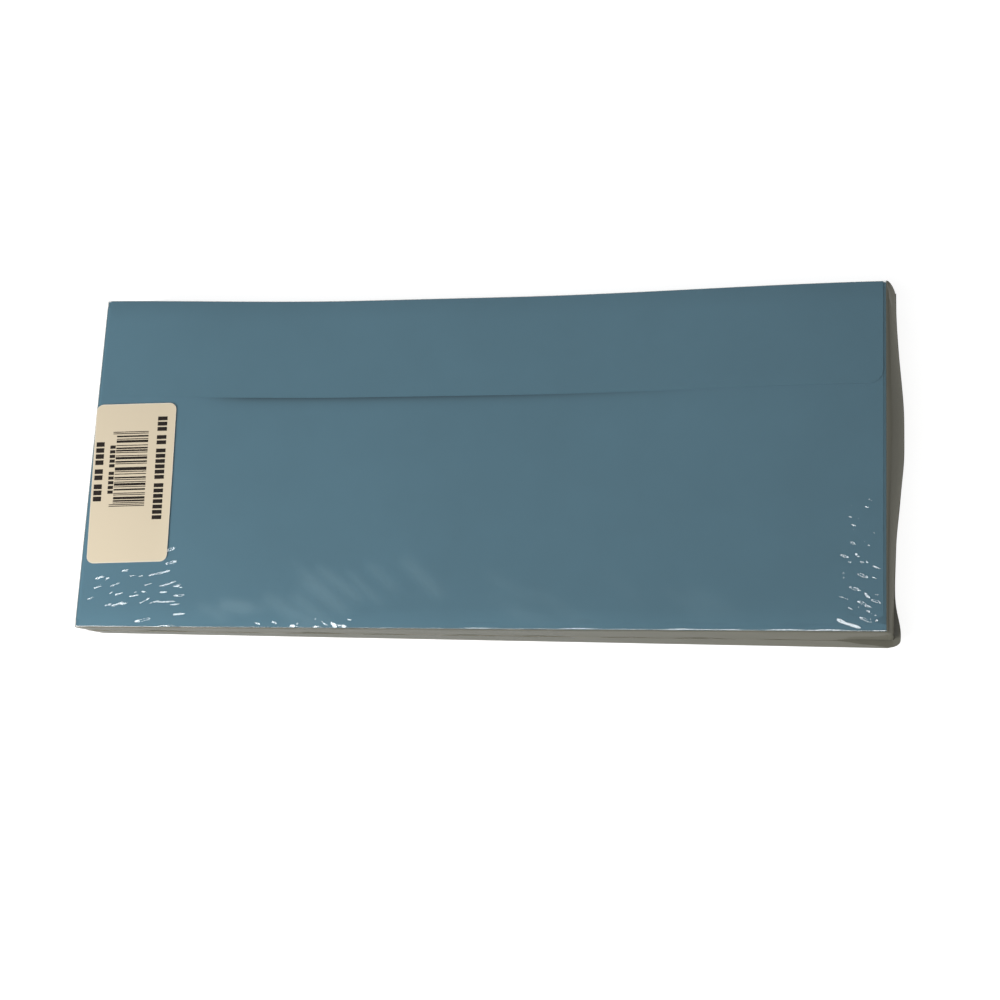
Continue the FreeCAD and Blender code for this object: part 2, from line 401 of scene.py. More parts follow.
@dataclass(frozen=True)
class PaintedShadePaperFinish(PaperFinish):
    """Paper with painted shade: its colour is darker in front of a raised flap's edge.

    The shade starts at the edge and dies away exponentially in front of it. Along the edge it
    grows over one stretch and fades over another. All lengths are in millimetres.
    """

    edge: float = 20.7
    reach: float = 1.1
    depth: float = 0.60
    growing: tuple[float, float] = (-92.0, -70.0)
    fading: tuple[float, float] = (-12.0, 84.0)

    def tint(self, board: NodeBoard) -> bpy.types.NodeSocket:
        """The colour with its clouds, darker in the painted shade."""
        place = board.add("ShaderNodeSeparateXYZ")
        board.link(board.add("ShaderNodeTexCoord").outputs["Object"], place.inputs[0])
        steps = board.math("MULTIPLY_ADD", place.outputs["Y"], -1 / (self.reach * MM), self.edge / self.reach)
        in_front = board.math("GREATER_THAN", steps, 0.0)
        fall = board.math("POWER", math.e, board.math("MULTIPLY", steps, -1.0))
        along = board.math("MULTIPLY", board.ramp(place.outputs["X"], *self.growing), board.ramp(place.outputs["X"], *self.fading[::-1]))
        shade = board.math("MULTIPLY", board.math("MULTIPLY", fall, in_front), along)
        # Painted shade: the shade mask lowers the colour's value.
        colour = board.add("ShaderNodeHueSaturation")
        board.link(super().tint(board), colour.inputs["Color"])
        board.link(board.math("MULTIPLY_ADD", shade, -self.depth, 1.0), colour.inputs["Value"])
        return colour.outputs["Color"]


@dataclass(frozen=True)
class LabelFinish(PaperFinish):
    """Coated cream label paper, paler along its cut edge."""

    edge_colour: Colour = (0.75, 0.69, 0.58)

    def material(self) -> bpy.types.Material:
        """The finished material, which reads how near each point is to the label's border."""
        board = NodeBoard.new(self.name)
        paper = board.add("ShaderNodeBsdfPrincipled", roughness=self.roughness, specular_ior_level=0.3)
        near_edge = board.stored(BORDER)
        board.link(board.blend(near_edge, self.colour, self.edge_colour), paper.inputs["Base Color"])
        return board.show(paper.outputs["BSDF"])


@dataclass(frozen=True)
class InkFinish:
    """Matt dark printing ink."""

    name: str
    colour: Colour
    roughness: float = 0.7

    def material(self) -> bpy.types.Material:
        """The finished material."""
        board = NodeBoard.new(self.name)
        ink = board.add("ShaderNodeBsdfPrincipled", roughness=self.roughness, specular_ior_level=0.2)
        ink.inputs["Base Color"].default_value = (*self.colour, 1.0)
        return board.show(ink.outputs["BSDF"])


@dataclass(frozen=True)
class FilmFinish:
    """Clear shrink film: it shines more at a slant and turns into a dull grey haze where gathered, a haze that is
    partly painted shade.

    It has soft lighter bands of painted sheen on its top.
    """

    name: str
    clear: Colour = (0.97, 0.97, 0.96)
    haze: Colour = (0.178, 0.173, 0.138)
    sheen_colour: Colour = (0.58, 0.86, 0.96)
    shine_head_on: float = 0.095
    shine_steep: float = 0.20
    dulling: float = 0.90
    roughness: float = 0.04

    def material(self) -> bpy.types.Material:
        """The finished material: clear, haze and bands of painted sheen, under a slanted shine."""
        board = NodeBoard.new(self.name)
        clear = board.add("ShaderNodeBsdfTransparent", color=(*self.clear, 1.0))
        # The haze is a dark grey-brown diffuse, partly painted shade on the tented end and the walls.
        haze = board.add("ShaderNodeBsdfDiffuse", color=(*self.haze, 1.0))
        body = board.add("ShaderNodeMixShader")
        board.link(board.stored(GATHERED_HAZE_AND_SHADE), body.inputs[0])
        board.link(clear.outputs["BSDF"], body.inputs[1])
        board.link(haze.outputs["BSDF"], body.inputs[2])
        # A pale diffuse in soft bands: painted sheen.
        sheen_colour = board.add("ShaderNodeBsdfDiffuse", color=(*self.sheen_colour, 1.0))
        bands = board.add("ShaderNodeMixShader")
        board.link(board.stored(PAINTED_SHEEN), bands.inputs[0])
        board.link(body.outputs[0], bands.inputs[1])
        board.link(sheen_colour.outputs["BSDF"], bands.inputs[2])
        gloss = board.add("ShaderNodeBsdfGlossy", roughness=self.roughness)
        gloss.inputs["Color"].default_value = (1.0, 1.0, 1.0, 1.0)
        slant = board.add("ShaderNodeLayerWeight", blend=0.5)
        steep = board.math("POWER", slant.outputs["Facing"], 5.0)
        shine = board.math("MULTIPLY_ADD", steep, self.shine_steep, self.shine_head_on)
        kept = board.math("MULTIPLY_ADD", board.stored(GATHERED_HAZE_AND_SHADE), -self.dulling, 1.0)
        mix = board.add("ShaderNodeMixShader")
        board.link(board.math("MULTIPLY", shine, kept), mix.inputs[0])
        board.link(bands.outputs[0], mix.inputs[1])
        board.link(gloss.outputs["BSDF"], mix.inputs[2])
        return board.show(mix.outputs[0])


# Envelopes


@dataclass(frozen=True)
class FoldedEnvelope:
    """One envelope: a single sheet of paper folded into up to four layers.

    The blank is a grid. Its rows follow the sheet from the seal flap's free edge over the back
    fold, the front panel and the front fold to the back panel's throat. Its columns run along the
    envelope, and past both ends of the front panel they follow the side flaps.
    """

    half_length: float
    half_width: float
    paper: float = 0.10
    gap: float = 0.01
    side_flap_layer: int = 1
    back_panel_layer: int = 2
    seal_flap_layer: int = 3
    seal_flap_depth: float = 31.5
    seal_flap_inset: float = 1.0
    seal_flap_corner: float = 4.0
    throat_depth: float = 21.0
    back_panel_inset: float = 1.0
    side_flap_width: float = 22.0
    side_flap_taper: float = 6.0
    notch: float = 2.0
    columns: int = 37
    cross_stations: int = 17
    fold_steps: int = 6
    corner_steps: int = 5
    side_steps: int = 4

    @property
    def pitch(self) -> float:
        """Height from one layer of paper to the next."""
        return self.paper + self.gap

    @property
    def height(self) -> float:
        """Height that one envelope takes in the stack."""
        return (self.seal_flap_layer + 1) * self.pitch

    def middle_of(self, layer: int) -> float:
        """Height of a layer's middle surface."""
        return layer * self.pitch + self.paper / 2

    def fold_reach(self, layer: int) -> float:
        """Outside radius of the fold that leads up to a layer."""
        return (layer * self.pitch + self.paper) / 2

    def panel_rows(self, start: float, end: float, layer: int, facing: float, half_span: float) -> Array:
        """Rows across a flat panel, between but not on its two ends.

        Args:
            start: Where the panel starts, across the envelope.
            end: Where it ends.
            layer: Its layer.
            facing: 1 where its outer side faces up, -1 where it faces down.
            half_span: Half of its length.

        Returns:
            One line per row: place across, height, the normal's two parts, and half length.
        """
        stations = np.linspace(-self.half_width, self.half_width, self.cross_stations)
        low, high = min(start, end) + self.notch, max(start, end) - self.notch
        inside = stations[(stations > low) & (stations < high)]
        across = inside if end > start else inside[::-1]
        rows = np.empty((len(across), 5))
        rows[:] = (0.0, self.middle_of(layer), 0.0, facing, half_span)
        rows[:, 0] = across
        return rows

    def fold_rows(self, layer: int, side: int, half_span: float) -> Array:
        """Rows round a half-round fold along a long edge, with both its ends.

        Args:
            layer: The upper layer that the fold leads to.
            side: 1 for the back edge, folded from the top down, -1 for the front edge.
            half_span: Half of the fold's length.

        Returns:
            Rows as for a flat panel.
        """
        reach = self.fold_reach(layer)
        radius = reach - self.paper / 2
        angle = side * np.linspace(math.pi / 2, -math.pi / 2, self.fold_steps)
        out = side * np.cos(angle)
        across = side * (self.half_width - reach) + radius * out
        return np.column_stack([across, reach + radius * np.sin(angle), out, np.sin(angle), np.full(angle.shape, half_span)])

    def flap_edge_rows(self, half_span: float) -> Array:
        """Rows at the seal flap's free edge, each as long as the two rounded corners leave it."""
        angle = np.linspace(0.0, math.pi / 2, self.corner_steps)
        across = self.half_width - self.seal_flap_depth + self.seal_flap_corner * (1 - np.cos(angle))
        rows = np.empty((self.corner_steps, 5))
        rows[:] = (0.0, self.middle_of(self.seal_flap_layer), 0.0, 1.0, half_span)
        rows[:, 0] = across
        rows[:, 4] -= self.seal_flap_corner * (1 - np.sin(angle))
        return rows

    def strip(self) -> tuple[Array, slice]:
        """All rows of the blank in order, and which of them carry the side flaps."""
        flap_span = self.half_length - self.seal_flap_inset
        panel_span = self.half_length - self.back_panel_inset
        front_span = self.half_length - self.fold_reach(self.side_flap_layer)
        half_root = self.half_width - self.notch
        free_edge = self.half_width - self.seal_flap_depth + self.seal_flap_corner
        throat = self.half_width - self.throat_depth
        flap = self.panel_rows(free_edge, self.half_width, self.seal_flap_layer, 1.0, flap_span)
        notch = np.array([[half_root, self.middle_of(0), 0.0, -1.0, front_span]])
        front = self.panel_rows(half_root, -half_root, 0, -1.0, front_span)
        back = self.panel_rows(-self.half_width, throat, self.back_panel_layer, 1.0, panel_span)
        throat_row = np.array([[throat, self.middle_of(self.back_panel_layer), 0.0, 1.0, panel_span]])
        parts = [self.flap_edge_rows(flap_span), flap, self.fold_rows(self.seal_flap_layer, 1, flap_span)]
        parts += [self.corner_row(1, self.seal_flap_layer, front_span)]
        first = sum(len(part) for part in parts)
        parts += [notch, front, notch * (-1, 1, 1, 1, 1)]
        last = sum(len(part) for part in parts)
        parts += [self.corner_row(-1, self.back_panel_layer, front_span)]
        parts += [self.fold_rows(self.back_panel_layer, -1, panel_span), back, throat_row]
        return np.vstack(parts), slice(first, last)

    def corner_row(self, side: int, layer: int, half_span: float) -> Array:
        """The front panel's last row before a long fold, at its full length."""
        across = side * (self.half_width - self.fold_reach(layer) - self.paper)
        return np.array([[across, self.middle_of(0), 0.0, -1.0, half_span]])

    def side_path(self) -> Array:
        """The side flap's section, from after its root to its tip: reach, height, normal, taper."""
        layer = self.side_flap_layer
        reach = self.fold_reach(layer)
        radius = reach - self.paper / 2
        root = self.half_length - reach
        angle = np.linspace(-math.pi / 2, math.pi / 2, self.side_steps)[1:]
        fold = np.column_stack([root + radius * np.cos(angle), reach + radius * np.sin(angle), np.cos(angle), np.sin(angle), np.ones(angle.shape)])
        share = np.linspace(0.0, 1.0, self.side_steps)[1:]
        half_root = self.half_width - self.notch
        flat = np.empty((len(share), 5))
        flat[:] = (0.0, self.middle_of(layer), 0.0, 1.0, 0.0)
        flat[:, 0] = root + share * (self.half_length - self.side_flap_width - root)
        flat[:, 4] = 1 - share * self.side_flap_taper / half_root
        return np.vstack([fold, flat])

    def middle_surface(self) -> tuple[Array, Array, NDArray[np.int64]]:
        """The sheet's middle surface.

        Returns:
            Its points, the normals of its outer side, and its quads.
        """
        rows, carrying = self.strip()
        side = self.side_path()
        wings = len(side)
        total = self.columns + 2 * wings
        points = np.zeros((len(rows), total, 3))
        normals = np.zeros((len(rows), total, 3))
        main = slice(wings, wings + self.columns)
        points[:, main, 0] = rows[:, 4:5] * np.linspace(-1.0, 1.0, self.columns)
        points[:, main, 1] = rows[:, 0:1]
        points[:, main, 2] = rows[:, 1:2]
        normals[:, main, 1] = rows[:, 2:3]
        normals[:, main, 2] = rows[:, 3:4]
        for end, wing, path in ((End.LEFT, slice(0, wings), side[::-1]), (End.RIGHT, slice(wings + self.columns, total), side)):
            points[:, wing, 0] = end.value * path[:, 0]
            points[:, wing, 1] = rows[:, 0:1] * path[:, 4]
            points[:, wing, 2] = path[:, 1]
            normals[:, wing, 0] = end.value * path[:, 2]
            normals[:, wing, 2] = path[:, 3]
        cells = np.zeros((len(rows) - 1, total - 1), dtype=bool)
        cells[:, wings:wings + self.columns - 1] = True
        cells[carrying.start:carrying.stop - 1] = True
        quads = grid_quads(len(rows), total)[cells.ravel()]
        used, renumbered = np.unique(quads, return_inverse=True)
        return points.reshape(-1, 3)[used], normals.reshape(-1, 3)[used], renumbered.reshape(-1, 4)


@dataclass(frozen=True)
class EnvelopeStack:
    """All envelopes of the pack, each laid a little off square."""

    shape: StackShape
    envelope: FoldedEnvelope
    # finish is the lower envelopes' paper, darkened as painted shade; top_finish carries the painted flap shade.
    finish: PaperFinish
    top_finish: PaperFinish
    count: int = 50
    bottom: float = 0.05
    shift: float = 0.10
    turn_deg: float = 0.03
    seed: int = 11

    def lay_down(self, points: Array, offset: Array, turn_deg: float) -> Array:
        """Shifts and turns one envelope's points in its plane."""
        turn = math.radians(turn_deg)
        across = np.array([[math.cos(turn), math.sin(turn), 0.0], [-math.sin(turn), math.cos(turn), 0.0], [0.0, 0.0, 1.0]])
        return points @ across + offset

    def open_flap(self, points: Array) -> Array:
        """Lifts the free edge of the uppermost seal flap, less and less towards its fold."""
        inward = np.clip(1 - (points[:, 1] - self.shape.flap_edge) / self.shape.flap_lift_reach, 0.0, 1.0)
        underside = self.envelope.seal_flap_layer * self.envelope.pitch
        on_flap = points[:, 2] > underside - self.envelope.gap / 2
        raised = points.copy()
        raised[:, 2] += on_flap * self.shape.lift(points[:, 0]) * inward**2
        return raised

    def build(self) -> list[bpy.types.Object]:
        """Makes every envelope from the bottom up and gives the new pieces."""
        random = np.random.default_rng(self.seed)
        middle, normals, quads = self.envelope.middle_surface()
        sheet, faces = thicken(middle, normals, quads, self.envelope.paper)
        material = self.finish.material()
        top_material = self.top_finish.material()
        pieces = []
        for index in range(self.count):
            uppermost = index == self.count - 1
            shift = np.zeros(2) if uppermost else random.uniform(-self.shift, self.shift, 2)
            turn = 0.0 if uppermost else random.uniform(-self.turn_deg, self.turn_deg)
            offset = np.array([shift[0], shift[1], self.bottom + index * self.envelope.height])
            points = self.open_flap(sheet) if uppermost else sheet
            placed = self.shape.place(self.lay_down(points, offset, turn))
            look = top_material if uppermost else material
            piece = make_piece(f"envelope_sheet_{index + 1:02d}", placed, faces, look)
            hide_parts(f"envelope_{index + 1:02d}")
            pieces.append(piece)
        return pieces


# Film


@dataclass(frozen=True)
class PuckerField:
    """A patch of short ridges that the heat has pulled into the film.

    Each ridge is a bell across and fades at both ends along. Its angle changes over the patch by
    a fixed amount per millimetre, so that the ridges can fan out.
    """

    centre: tuple[float, float]
    half_size: tuple[float, float]
    count: int
    angle_deg: float
    angle_spread_deg: float
    half_length: tuple[float, float]
    half_width: tuple[float, float] = (0.42, 0.58)
    slope: tuple[float, float] = (0.38, 0.50)
    fan_deg: float = 0.0
    seed: int = 1

    def height(self, x: Array, y: Array) -> Array:
        """Height of the ridges over the flat film.

        A ridge of slope s and half width w is s w / 0.858 high, because the steepest part of a
        bell of height a is 0.858 a / w.

        Args:
            x: Places along the pack.
            y: Places across it.

        Returns:
            The height at each place.
        """
        random = np.random.default_rng(self.seed)
        total = np.zeros(x.shape)
        for _ in range(self.count):
            spot = random.uniform(-1.0, 1.0, 2)
            middle = (self.centre[0] + spot[0] * self.half_size[0], self.centre[1] + spot[1] * self.half_size[1])
            spread = random.uniform(-self.angle_spread_deg, self.angle_spread_deg)
            angle = math.radians(self.angle_deg + spread + self.fan_deg * spot[1])
            length = random.uniform(*self.half_length)
            width = random.uniform(*self.half_width)
            slope = random.uniform(*self.slope)
            along = (x - middle[0]) * math.cos(angle) + (y - middle[1]) * math.sin(angle)
            aside = (y - middle[1]) * math.cos(angle) - (x - middle[0]) * math.sin(angle)
            fade = np.clip(1 - (along / length) ** 4, 0.0, None) ** 2
            total += slope * width / 0.858 * fade * np.exp(-((aside / width) ** 2))
        return total


@dataclass(frozen=True)
class FilmSkin:
    """The closed film, tight on the stack, with puckers and a tented right end.

    It is a box whose points are drawn onto a rounded box: each point is moved to a fixed radius
    from the nearest point of a smaller inner box. Its upper half has a fine grid and its lower
    half a coarse one, and they meet at the seam's height.
    """

    shape: StackShape
    finish: FilmFinish
    puckers: tuple[PuckerField, ...]
    bands: tuple[PuckerField, ...]
    sheen_strength: float = 0.060
    pucker_limit: float = 0.55
    clearance: float = 0.27
    edge_radius: float = 0.6
    wave_height: float = 0.09
    seam_height: float = 11.0
    fine_x: float = 0.45
    coarse_x: float = 2.0
    fine_y: float = 0.20
    middle_y: float = 0.5
    coarse_y: float = 2.0
    fine_left: float = -28.0
    fine_right: float = 102.0
    fine_back: float = -12.0
    wall_rows: int = 9
    lower_gap: float = 4.0
    tent: float = 2.8
    tent_at: float = 8.0
    tent_width: float = 26.0
    tent_least: float = 1.4
    label_centre: tuple[float, float] = (-107.15, -7.0)
    label_half: tuple[float, float] = (12.9, 25.6)

    @property
    def reach(self) -> Array:
        """Half length and half width of the film box."""
        return np.array([self.shape.half_length, self.shape.half_width]) + self.clearance

    def edge_steps(self) -> Array:
        """Distances from an edge at which a rounded edge has its points."""
        angle = np.radians([0.0, 11.25, 22.5, 33.75, 45.0])
        return self.edge_radius * (1 - np.tan(angle[::-1]))

    def stations(self, reach: float, breaks: tuple[float, ...], steps: tuple[float, ...]) -> Array:
        """Places of the grid lines along one side of the box.

        Args:
            reach: Half of the side's length.
            breaks: Where one step gives way to the next.
            steps: The greatest step in each stretch, one more than there are breaks.

        Returns:
            The places in rising order, with extra ones on both rounded edges.
        """
        edge = self.edge_steps()
        inner = reach - self.edge_radius
        bounds = [-inner, *breaks, inner]
        parts = [-reach + edge[:-1]]
        for low, high, step in zip(bounds[:-1], bounds[1:], steps):
            parts.append(np.linspace(low, high, math.ceil((high - low) / step), endpoint=False))
        parts.append((reach - edge)[::-1])
        return np.concatenate(parts)

    def x_stations(self) -> Array:
        """Grid lines along the pack, close together over the puckered ends."""
        return self.stations(self.reach[0], (self.fine_left, self.fine_right), (self.fine_x, self.coarse_x, self.fine_x))

    def y_stations(self) -> Array:
        """Grid lines across the pack, close together over the puckered front."""
        edge = self.shape.flap_edge
        breaks = (self.fine_back, edge - 5, edge + 2)
        return self.stations(self.reach[1], breaks, (self.fine_y, self.coarse_y, self.middle_y, self.coarse_y))

    def rounded(self, box: Array, low: float, high: float) -> tuple[Array, Array]:
        """Draws points of the film box onto the rounded box.

        Args:
            box: Points on the faces of the box.
            low: Height of the inner box's underside.
            high: Height of its top.

        Returns:
            The rounded points, and the film's outward normals there.
        """
        inner_reach = self.reach - self.edge_radius
        inner = np.column_stack([np.clip(box[:, :2], -inner_reach, inner_reach), np.clip(box[:, 2], low, high)])
        away = box - inner
        normals = away / np.linalg.norm(away, axis=1, keepdims=True)
        return inner + normals * self.edge_radius, normals

    def pucker_height(self, x: Array, y: Array) -> Array:
        """All puckers together, levelled off where they pile up, and kept off the label."""
        piled = sum(field.height(x, y) for field in self.puckers)
        total = self.pucker_limit * np.tanh(piled / self.pucker_limit)
        beyond_x = np.abs(x - self.label_centre[0]) - self.label_half[0]
        beyond_y = np.abs(y - self.label_centre[1]) - self.label_half[1]
        clear_of_label = smooth_step(np.maximum(beyond_x, beyond_y) / 0.8)
        return total * clear_of_label

    def over_flap(self, x: Array, y: Array) -> Array:
        """Height of the film over the lifted seal flap, falling off gently in front of its edge."""
        behind = y - self.shape.flap_edge
        on_flap = np.clip(1 - behind / self.shape.flap_lift_reach, 0.0, 1.0) ** 2
        before = np.exp(-((behind / 2.5) ** 2))
        return self.shape.lift(x) * np.where(behind > 0, on_flap, before)

    def front_waves(self, x: Array, z: Array) -> Array:
        """Shallow folds of the front and back walls, slanting waves of two lengths."""
        fade = np.sin(np.pi * np.clip(z / self.shape.top, 0.0, 1.0))
        return self.wave_height * fade * (np.sin(x / 3.7 + z / 2.2) + 0.7 * np.sin(x / 8.3 - z / 3.1 + 1.0))

    def end_tent(self, y: Array, z: Array) -> Array:
        """How far the right end stands off: a bell across, and the root of a sine up the height."""
        across = self.tent_least + self.tent * np.exp(-(((y - self.tent_at) / self.tent_width) ** 2))
        creases = 1 + 0.012 * np.sin(y / 4.9 + z / 4.0) + 0.006 * np.sin(y / 2.3 - z / 2.5)
        return across * creases * np.sqrt(np.sin(np.pi * np.clip(z / self.shape.top, 0.0, 1.0)))

    def formed(self, points: Array, normals: Array) -> Array:
        """Adds the puckers, the walls' folds and the tent, each where the film faces its way."""
        x, y, z = points.T
        facing = normals**2
        up = np.where(normals[:, 2] > 0, facing[:, 2], 0.0)
        top_height = up * (self.pucker_height(x, y) + self.over_flap(x, y))
        wall_height = facing[:, 1] * self.front_waves(x, z)
        formed = points + normals * (top_height + wall_height)[:, None]
        right = np.where(normals[:, 0] > 0, facing[:, 0], 0.0)
        formed[:, 0] += np.sqrt(right) * self.end_tent(y, z)
        return formed

    def gathered_haze_and_shade(self, points: Array, normals: Array) -> Array:
        """How much grey haze each point has, partly gathered film and partly painted shade: most where the right end
        is tented.
        """
        right = 0.92 * smooth_step(normals[:, 0] / 0.4)
        left = 0.30 * smooth_step(-normals[:, 0] / 0.4)
        front = smooth_step(-normals[:, 1] / 0.4) * (0.70 + 0.14 * smooth_step((points[:, 0] - 10.0) / 100.0))
        return np.maximum(np.maximum(right, left), front)

    def painted_sheen_bands(self, points: Array, normals: Array) -> Array:
        """How strong the painted sheen is at each point: soft lighter bands on the side that faces up."""
        bands = sum(field.height(points[:, 0], points[:, 1]) for field in self.bands)
        return self.sheen_strength * np.clip(normals[:, 2], 0.0, 1.0) * np.clip(bands, 0.0, 1.5)

    def ring(self, x: Array, y: Array, height: float) -> Array:
        """One turn round the box at a height, against the clock from the front left corner."""
        front = np.column_stack([x[:-1], np.full(len(x) - 1, y[0])])
        right = np.column_stack([np.full(len(y) - 1, x[-1]), y[:-1]])
        back = np.column_stack([x[:0:-1], np.full(len(x) - 1, y[-1])])
        left = np.column_stack([np.full(len(y) - 1, x[0]), y[:0:-1]])
        turn = np.vstack([front, right, back, left])
        return np.column_stack([turn, np.full(len(turn), height)])

    def rim_numbers(self, columns: int, rows: int) -> NDArray[np.int64]:
        """Numbers of a grid's outer points, in the order of a ring."""
        front = np.arange(columns - 1)
        right = np.arange(rows - 1) * columns + columns - 1
        back = np.arange(columns - 1, 0, -1) + (rows - 1) * columns
        left = np.arange(rows - 1, 0, -1) * columns
        return np.concatenate([front, right, back, left])

    def ring_quads(self, upper: NDArray[np.int64], lower: NDArray[np.int64]) -> NDArray[np.int64]:
        """Quads between a ring of points and the ring below it, facing outwards."""
        return np.column_stack([upper, lower, np.roll(lower, -1), np.roll(upper, -1)])

    def half_shell(self, x: Array, y: Array, heights: Array, face_height: float, facing: float) -> tuple[Array, Faces, NDArray[np.int64]]:
        """One half of the box: a flat face and the walls from its rim to the seam.

        Args:
            x: Grid lines along the face.
            y: Grid lines across it.
            heights: Heights of the wall's rings, from next to the face to the seam.
            face_height: Height of the face.
            facing: 1 for the top, -1 for the underside.

        Returns:
            The points, the faces, and the numbers of the ring at the seam.
        """
        across, along = np.meshgrid(y, x, indexing="ij")
        face = np.column_stack([along.ravel(), across.ravel(), np.full(along.size, face_height)])
        quads = grid_quads(len(y), len(x))
        faces = [quads if facing > 0 else quads[:, ::-1]]
        rings = [self.ring(x, y, height) for height in heights]
        numbers = self.rim_numbers(len(x), len(y))
        start = len(face)
        for ring in rings:
            below = start + np.arange(len(ring))
            band = self.ring_quads(numbers, below)
            faces.append(band if facing > 0 else band[:, ::-1])
            numbers = below
            start += len(ring)
        return np.vstack([face, *rings]), faces, numbers

    def thinned(self, stations: Array) -> NDArray[np.int64]:
        """Numbers of the grid lines that the coarse lower half keeps, edges included."""
        inner = np.arange(len(stations))
        edges = len(self.edge_steps()) - 1
        group = np.floor(stations / self.lower_gap)
        _, first = np.unique(group[edges:-edges], return_index=True)
        return np.unique(np.concatenate([inner[:edges + 1], first + edges, inner[-edges - 1:]]))

    def seam_cells(self, upper: NDArray[np.int64], lower: NDArray[np.int64], kept: NDArray[np.int64]) -> Faces:
        """Faces between the fine ring over the seam and the coarse ring under it.

        Each face has one edge below and as many above as the fine ring has there.

        Args:
            upper: Point numbers of the fine ring.
            lower: Point numbers of the coarse ring.
            kept: Which places of the fine ring the coarse ring has.

        Returns:
            One array per face.
        """
        stops = np.append(kept[1:], len(upper))
        cells = []
        for cell, (start, stop) in enumerate(zip(kept, stops)):
            above = upper[np.arange(start, stop + 1) % len(upper)]
            below = lower[[cell, (cell + 1) % len(lower)]]
            cells.append(np.concatenate([below, above[::-1]])[None, :])
        return cells

    def kept_on_ring(self, x_kept: NDArray[np.int64], y_kept: NDArray[np.int64], columns: int, rows: int) -> NDArray[np.int64]:
        """Places on the fine ring of the coarse ring's points."""
        front = x_kept[:-1]
        right = columns - 1 + y_kept[:-1]
        back = columns + rows - 2 + (columns - 1 - x_kept[:0:-1])
        left = 2 * columns + rows - 3 + (rows - 1 - y_kept[:0:-1])
        return np.concatenate([front, right, back, left])

    def build(self) -> bpy.types.Object:
        """Makes the film as one closed surface."""
        x, y = self.x_stations(), self.y_stations()
        top = self.shape.top
        edge = self.edge_steps()
        upper_walls = np.linspace(top - self.edge_radius, self.seam_height, self.wall_rows)
        upper_heights = np.concatenate([top - edge[1:-1], upper_walls])
        lower_walls = np.linspace(self.seam_height - 0.4, self.edge_radius, self.wall_rows // 2)
        lower_heights = np.concatenate([edge[1:-1], lower_walls[::-1]])
        x_kept, y_kept = self.thinned(x), self.thinned(y)
        upper, upper_faces, fine_ring = self.half_shell(x, y, upper_heights, top, 1.0)
        lower, lower_faces, coarse_ring = self.half_shell(x[x_kept], y[y_kept], lower_heights, 0.0, -1.0)
        box = np.vstack([upper, lower])
        faces = upper_faces + [group + len(upper) for group in lower_faces]
        kept = self.kept_on_ring(x_kept, y_kept, len(x), len(y))
        faces += self.seam_cells(fine_ring, coarse_ring + len(upper), kept)
        points, normals = self.rounded(box, self.edge_radius, top - self.edge_radius)
        formed = self.formed(points, normals)
        piece = make_piece("film_skin", self.shape.place(formed), faces, self.finish.material())
        add_values(piece, GATHERED_HAZE_AND_SHADE, self.gathered_haze_and_shade(points, normals))
        add_values(piece, PAINTED_SHEEN, self.painted_sheen_bands(points, normals))
        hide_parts("shrink_film")
        return piece


